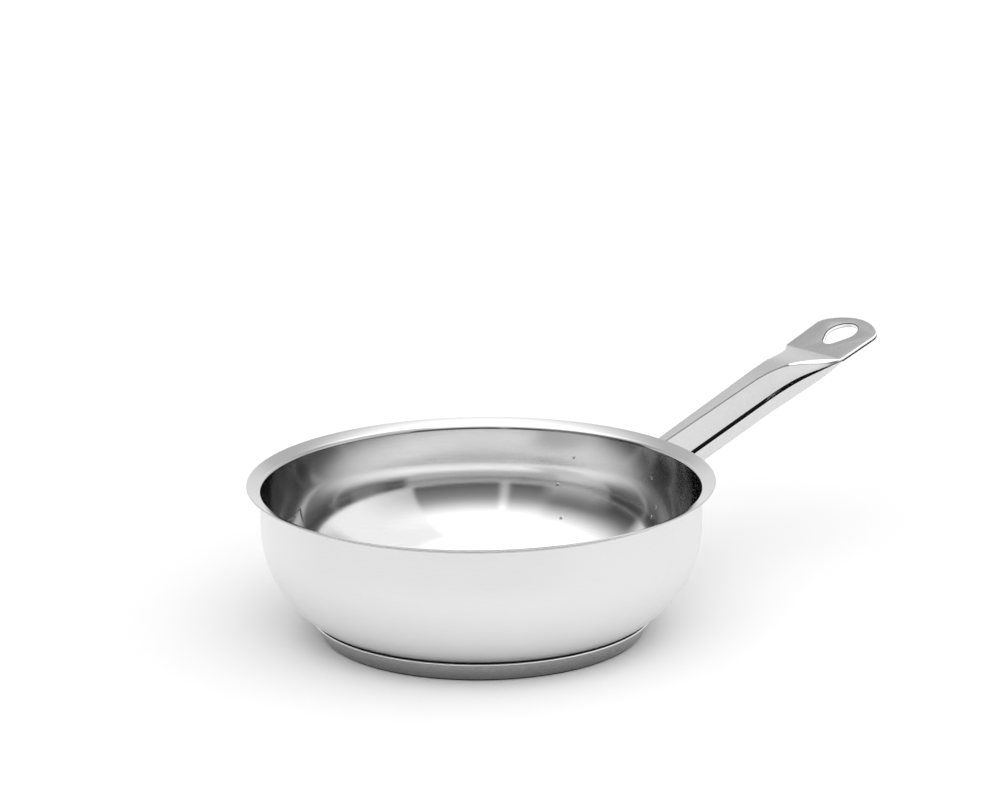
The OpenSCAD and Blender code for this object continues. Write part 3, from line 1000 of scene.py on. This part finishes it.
# The studio's walls and flags, seen only in the steel: each is a grey that changes with elevation.
# Azimuths are seen from above in degrees, 0 straight behind the pan, positive to the right.
roomSizes = {"radius": 8, "rings": 24, "turns": 72,
             "rightFrom": 84, "rightTo": 142.5, "leftTo": -80, "frontTo": -141, "softEdge": 4, "hardEdge": 1,
             "front": [(0, 0.04), (12, 0.12), (17, 0.2), (23, 0.27), (28, 0.42), (33, 0.72), (38, 1.08),
                       (44, 1.45), (50, 1.75), (57, 1.95), (68, 2.2), (85, 1.9)],
             "left": [(0, 0.05), (20, 0.09), (26, 0.2), (32, 0.5), (41, 1.1), (50, 1.65), (57, 1.95),
                      (68, 2.2), (85, 1.9)],
             "back": [(0, 1.0), (18, 1.0), (23, 0.9), (28, 0.7), (36, 0.68), (42, 0.85), (50, 1.35),
                      (58, 1.95), (68, 2.2), (85, 1.9)],
             "right": [(0, 1.0), (10, 1.15), (42, 1.15), (50, 1.15), (66, 1.15), (78, 1.9), (85, 1.9)],
             "corner": [(0, 0.55), (20, 0.66), (30, 0.9), (42, 1.3), (49, 1.3), (55, 1.2), (66, 1.15),
                        (78, 1.9), (85, 1.9)],
             "cornerFrom": 108, "panelFrom": -143, "panelTo": -108, "panelLevel": 0.42,
             "slitAt": -167, "slitHalf": 2.5, "slitSoft": 1.5, "slitLevel": 0.4}


def studioRoom(sizes):
    points = []
    faces = []
    turns = sizes["turns"]
    for k in range(sizes["rings"]):
        rise = math.radians(90 * k / sizes["rings"])
        for i in range(turns):
            turn = 2 * math.pi * i / turns
            points.append((math.cos(rise) * math.sin(turn), math.cos(rise) * math.cos(turn), math.sin(rise)))
    points.append((0, 0, 1))
    for k in range(sizes["rings"] - 1):
        for i in range(turns):
            j = (i + 1) % turns
            faces.append([k * turns + i, k * turns + j, (k + 1) * turns + j, (k + 1) * turns + i])
    last = (sizes["rings"] - 1) * turns
    faces += [[last + i, last + (i + 1) % turns, len(points) - 1] for i in range(turns)]
    material, graph = newMaterial("studio_walls")
    x, y, z = graph.place()
    level = z / (x * x + y * y + z * z) ** 0.5
    elevation = graph.node("ShaderNodeMath", {"operation": "ARCSINE"}, [level]) * (180 / math.pi)
    around = graph.node("ShaderNodeMath", {"operation": "ARCTAN2"}, [x, y]) * (180 / math.pi)

    def wall(name):
        stops = [(height / 90, shade) for height, shade in sizes[name]]
        return graph.node("ShaderNodeValToRGB", {"stops": stops}, [elevation / 90])

    def edge(place, soft, rising):
        low, high = (0.0, 1.0) if rising else (1.0, 0.0)
        return graph.spread(around, place - soft, place + soft, low, high)

    soft = sizes["softEdge"]
    hard = sizes["hardEdge"]
    onRight = edge(sizes["rightFrom"], soft, True) * edge(sizes["rightTo"], hard, False)
    onBack = edge(sizes["rightFrom"], soft, False) * edge(sizes["leftTo"], soft, True)
    onLeft = edge(sizes["leftTo"], soft, False) * edge(sizes["frontTo"], soft, True)
    onFront = 1 - onRight - onBack - onLeft
    turned = graph.spread(around, sizes["cornerFrom"], sizes["rightTo"], 0.0, 1.0)
    rightWall = wall("right") * (1 - turned) + wall("corner") * turned
    slit = edge(sizes["slitAt"] - sizes["slitHalf"], sizes["slitSoft"], True)
    slit = slit * edge(sizes["slitAt"] + sizes["slitHalf"], sizes["slitSoft"], False)
    frontWall = wall("front") + slit * sizes["slitLevel"] * graph.spread(elevation, 36, 44, 1.0, 0.0)
    panel = edge(sizes["panelFrom"], soft, True) * edge(sizes["panelTo"], soft * 2, False)
    panel = panel * sizes["panelLevel"] * graph.spread(elevation, 10, 26, 1.0, 0.0)
    light = frontWall * onFront + wall("left") * onLeft + wall("back") * onBack + rightWall * onRight
    light = light + panel
    glow = graph.node("ShaderNodeEmission", values={"Strength": light})
    graph.node("ShaderNodeOutputMaterial", values={"Surface": glow})
    reach = sizes["radius"] / mm
    room = makeObject("studio_walls", [Vector(p) * reach for p in points], faces)
    room.rotation_euler.z = math.radians(photoView["azimuth"])
    room.data.materials.append(material)
    room.visible_camera = False
    room.visible_diffuse = False
    room.visible_shadow = False
    room.visible_transmission = False


whiteFloor(stageSizes)
whiteSky(stageSizes)
studioRoom(roomSizes)
bpy.context.scene.view_settings.view_transform = "Standard"
print("stage made")
